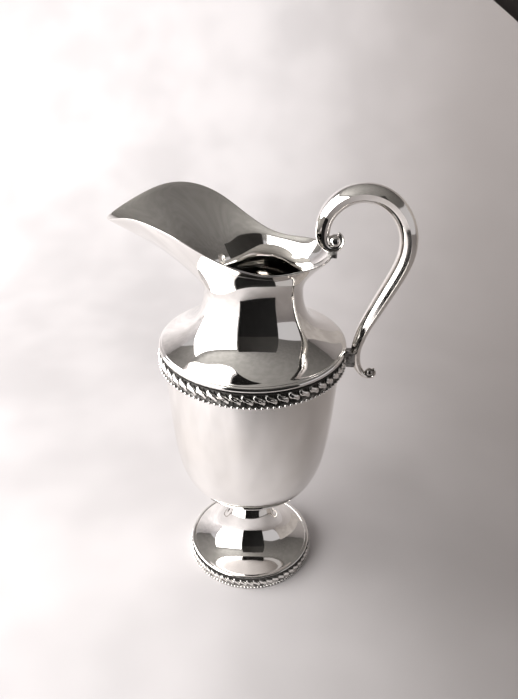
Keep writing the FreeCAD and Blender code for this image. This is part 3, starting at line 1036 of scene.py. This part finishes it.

# %% [markdown]
# ## Stage
#
# A mirror needs a room.  Floor and backdrop are one pale sweep, with painted shade
# making it a little darker to the right.  A tall bright panel at the left plays the
# window.  In front, dark panels give the neck and the foot the dark middle that makes
# polished silver look deep, a grey one stands at the right, and a grey ceiling closes
# the top.  The panels are seen only in the silver, never by the camera itself.

# %% Group: mottle, and the stage's materials
MOTTLE_SCALE = 9.0


def build_mottle():
    """Soft clouds that keep a matte surface from being one flat colour."""
    group, _, end = new_group("mottle", [], [("Cloud", "NodeSocketFloat")])
    cloud = range_node(group, noise_node(group, own_place(group), MOTTLE_SCALE, 2.0), 0.3, 0.7)
    plug(group, cloud, end.inputs["Cloud"])
    return group


MOTTLE = build_mottle()


def matte(name, colour, mottle):
    """A dull material whose clouds are darker by the mottle factor."""
    material = bpy.data.materials.new(name)
    material.use_nodes = True
    tree = material.node_tree
    shader = tree.nodes["Principled BSDF"]
    shader.inputs["Roughness"].default_value = 0.85
    shader.inputs["Specular IOR Level"].default_value = 0.1
    cloud = place_group(tree, MOTTLE).outputs["Cloud"]
    darker = tuple(c * mottle for c in colour[:3]) + (1.0,)
    plug(tree, mix_colours(tree, cloud, colour, darker), shader.inputs["Base Color"])
    return material


def cloth_material():
    """Pale cloth: bright towards the window, with painted shade making it warmer and greyer to the
    right.
    """
    material = matte("pale_cloth", (0.82, 0.79, 0.80, 1.0), 0.86)
    tree = material.node_tree
    base_colour = tree.nodes["Principled BSDF"].inputs["Base Color"]
    woven = base_colour.links[0].from_socket
    parts = tree.nodes.new("ShaderNodeSeparateXYZ")
    plug(tree, own_place(tree), parts.inputs["Vector"])
    # Painted shade: the cloth is mixed towards a dark warm grey to the right, where the window's
    # light falls off.
    painted_shade_right = range_node(tree, parts.outputs["X"], -0.10, 0.30, 0.0, 0.85)
    plug(tree, mix_colours(tree, painted_shade_right, woven, (0.44, 0.405, 0.395, 1.0)), base_colour)
    return material


def glowing(name, colour, strength):
    """A black surface that gives light."""
    material = bpy.data.materials.new(name)
    material.use_nodes = True
    shader = material.node_tree.nodes["Principled BSDF"]
    shader.inputs["Base Color"].default_value = (0.0, 0.0, 0.0, 1.0)
    shader.inputs["Emission Color"].default_value = colour
    shader.inputs["Emission Strength"].default_value = strength
    return material


CLOTH = cloth_material()
BLACK = matte("black_panel", (0.012, 0.012, 0.012, 1.0), 0.8)
CHARCOAL = matte("charcoal_panel", (0.035, 0.034, 0.032, 1.0), 0.9)
SIDE_GREY = matte("side_grey", (0.42, 0.39, 0.37, 1.0), 0.8)
CEILING = matte("grey_ceiling", (0.30, 0.295, 0.28, 1.0), 0.85)
WINDOW = glowing("window_panel", (1.0, 0.985, 0.97, 1.0), 5.2)
print("stage materials:", CLOTH.name, BLACK.name, CHARCOAL.name, CEILING.name, WINDOW.name)

# %% Floor and backdrop in one sweep
FLOOR_NEAR = -1.6
SWEEP_LENGTH = 3.6
SWEEP_HALF_WIDTH = 2.2
FLAT_END = 0.30
BEND_RADIUS = 0.45
BEND_ANGLE = math.radians(62)


def sweep_point(x, run):
    """Place at a distance along the sweep: flat, then a bend, then a straight slope."""
    if run <= FLAT_END:
        return (x, run, 0.0)
    a = min((run - FLAT_END) / BEND_RADIUS, BEND_ANGLE)
    past = max(run - FLAT_END - BEND_RADIUS * BEND_ANGLE, 0.0)
    return (x, FLAT_END + BEND_RADIUS * math.sin(a) + past * math.cos(a),
            BEND_RADIUS * (1 - math.cos(a)) + past * math.sin(a))


def make_sweep(material):
    """The floor under the pitcher and the slope behind it."""
    start_alone()
    bpy.ops.mesh.primitive_grid_add(x_subdivisions=8, y_subdivisions=60, size=2)
    sweep = bpy.context.object
    sweep.name = "floor_sweep"
    for vertex in sweep.data.vertices:
        run = FLOOR_NEAR + (vertex.co.y + 1.0) / 2.0 * SWEEP_LENGTH
        vertex.co = sweep_point(vertex.co.x * SWEEP_HALF_WIDTH, run)
    sweep.data.materials.append(material)
    shade(sweep, 60)


make_sweep(CLOTH)

# %% Panels round the pitcher and above it
PANEL_STEPS = 24
DARK_RADIUS = 0.33
DARK_FROM, DARK_TO = -113, -35
DARK_STEP, DARK_TOP = 0.30, 0.58


def unseen(panel, material):
    """Dresses a panel and leaves it to reflections only."""
    panel.data.materials.append(material)
    panel.visible_camera = False
    print(panel.name, "with", material.name)


def curved_panel(name, radius, first_turn, last_turn, bottom, top, material):
    """An upright panel at one distance from the axis, between two turns in degrees."""
    start_alone()
    bpy.ops.mesh.primitive_grid_add(x_subdivisions=PANEL_STEPS, y_subdivisions=1, size=2)
    panel = bpy.context.object
    panel.name = name
    for vertex in panel.data.vertices:
        share = (vertex.co.x + 1.0) / 2.0
        a = math.radians(first_turn + (last_turn - first_turn) * share)
        z = bottom if vertex.co.y < 0 else top
        vertex.co = (radius * math.cos(a), radius * math.sin(a), z)
    unseen(panel, material)


curved_panel("window_panel", 0.95, 158, 243, 0.02, 1.15, WINDOW)
curved_panel("black_panel", DARK_RADIUS, DARK_FROM, DARK_TO, 0.0, DARK_STEP, BLACK)
curved_panel("charcoal_panel", DARK_RADIUS, DARK_FROM, DARK_TO, DARK_STEP, DARK_TOP, CHARCOAL)
curved_panel("grey_side_panel", 0.80, 20, 75, 0.0, 0.50, SIDE_GREY)
start_alone()
bpy.ops.mesh.primitive_plane_add(size=3.6, location=(0.3, 0.0, 1.25))
ceiling = bpy.context.object
ceiling.name = "ceiling"
unseen(ceiling, CEILING)

# %% Light of the room
ROOM_LIGHT = 0.58
world = bpy.data.worlds.new("pale_room")
bpy.context.scene.world = world
world.use_nodes = True
sky = world.node_tree.nodes["Background"]
sky.inputs["Color"].default_value = (0.93, 0.90, 0.91, 1.0)
sky.inputs["Strength"].default_value = ROOM_LIGHT
bpy.context.scene.view_settings.view_transform = "Standard"
print("room light:", ROOM_LIGHT)
